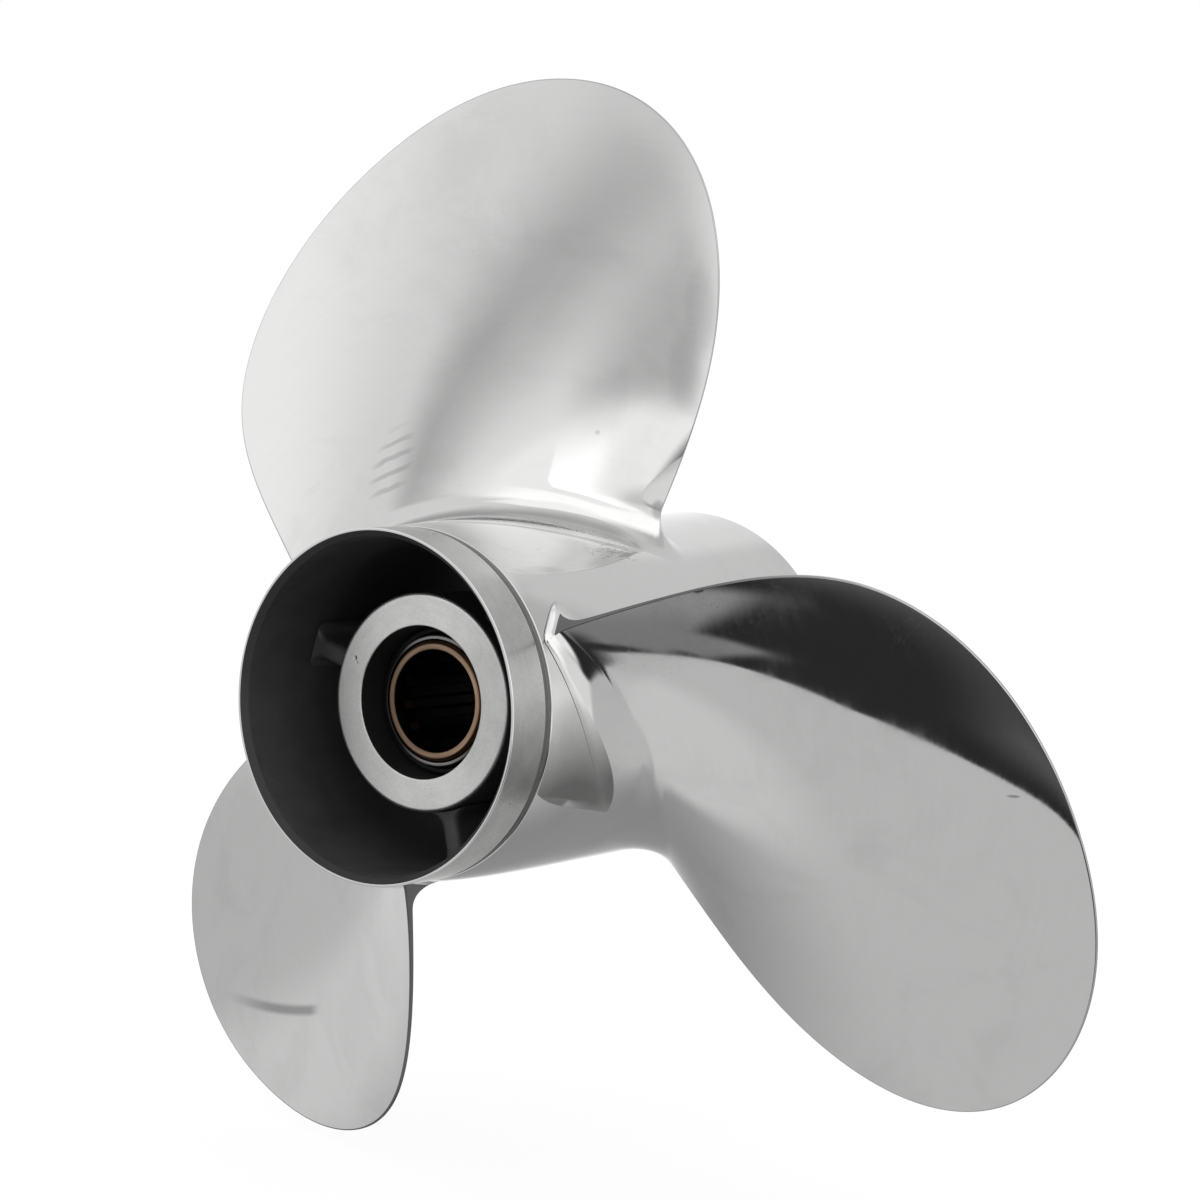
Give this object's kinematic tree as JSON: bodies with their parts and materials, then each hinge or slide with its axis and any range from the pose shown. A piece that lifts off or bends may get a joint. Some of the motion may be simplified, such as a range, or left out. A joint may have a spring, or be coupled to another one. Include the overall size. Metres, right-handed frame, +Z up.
{
  "type": "outboard boat propeller",
  "caption": "Stainless right-hand boat propeller with swept blades on a hollow hub that the exhaust passes through, and a splined rubber-bushed bore.",
  "frame": {"origin": "on the shaft axis, in the plane of the bronze sleeve's front face", "axes": "+Y along the shaft axis from the front (gearcase) end to the aft end, +Z up along the first blade, +X to the right as seen from the front end"},
  "size_m": [0.2706, 0.1283, 0.2589],
  "materials": {
    "polished_stainless": "polished stainless casting, fine polishing marks",
    "machined_stainless": "turned, satin",
    "cast_stainless_inside": "as cast, dark",
    "steel_collar": "turned",
    "bronze": "turned bronze",
    "black_rubber": "moulded, matt"
  },
  "bodies": {
    "root": {"outer_barrel": "polished_stainless", "inner_hub": "machined_stainless", "rib_1": "cast_stainless_inside", "rib_2": "cast_stainless_inside", "rib_3": "cast_stainless_inside", "blade_1": "polished_stainless", "blade_2": "polished_stainless", "blade_3": "polished_stainless", "rubber_bush": "black_rubber", "bush_collar": "steel_collar", "spline_sleeve": "bronze"}
  },
  "joints": []
}
